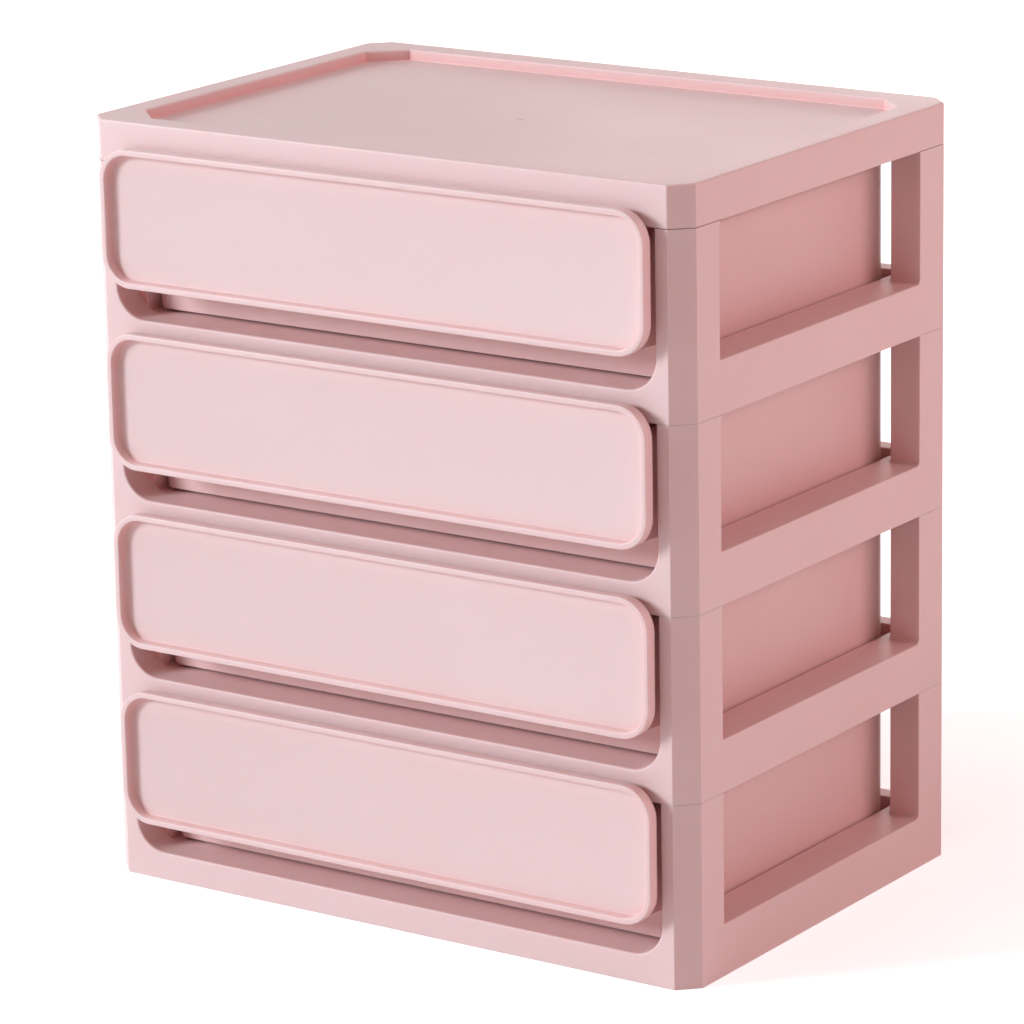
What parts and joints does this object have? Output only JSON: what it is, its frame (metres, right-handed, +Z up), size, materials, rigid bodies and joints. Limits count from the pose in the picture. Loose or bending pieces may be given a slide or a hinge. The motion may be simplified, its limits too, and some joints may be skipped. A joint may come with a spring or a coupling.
{
  "type": "desktop makeup organizer",
  "caption": "Upright desktop organizer of pale pink plastic: stacked open-sided frames with sliding drawers under a cover with a shallow tray, pulled by finger slots.",
  "frame": {"origin": "middle of the base: halfway between the sides and between the drawer fronts and the back, on the plane that the organizer stands on", "axes": "+Z up; the drawers open towards -Y; +X to the right of someone who looks at the drawer fronts, along +Y"},
  "size_m": [0.26, 0.1914, 0.29],
  "materials": {
    "frame_plastic": "satin",
    "box_plastic": "satin",
    "front_plastic": "satin"
  },
  "bodies": {
    "cabinet": {"top_cover": "frame_plastic", "tier_frame_1": "frame_plastic", "tier_frame_2": "frame_plastic", "tier_frame_3": "frame_plastic", "tier_frame_4": "frame_plastic"},
    "drawer_1": {"drawer_box_1": "box_plastic", "drawer_front_1": "front_plastic"},
    "drawer_2": {"drawer_box_2": "box_plastic", "drawer_front_2": "front_plastic"},
    "drawer_3": {"drawer_box_3": "box_plastic", "drawer_front_3": "front_plastic"},
    "drawer_4": {"drawer_box_4": "box_plastic", "drawer_front_4": "front_plastic"}
  },
  "joints": [
    {"name": "drawer_1_slide", "type": "slide", "parent": "cabinet", "child": "drawer_1", "axis": [0, -1, 0], "range_m": [0, 0.12]},
    {"name": "drawer_2_slide", "type": "slide", "parent": "cabinet", "child": "drawer_2", "axis": [0, -1, 0], "range_m": [0, 0.12]},
    {"name": "drawer_3_slide", "type": "slide", "parent": "cabinet", "child": "drawer_3", "axis": [0, -1, 0], "range_m": [0, 0.12]},
    {"name": "drawer_4_slide", "type": "slide", "parent": "cabinet", "child": "drawer_4", "axis": [0, -1, 0], "range_m": [0, 0.12]}
  ]
}
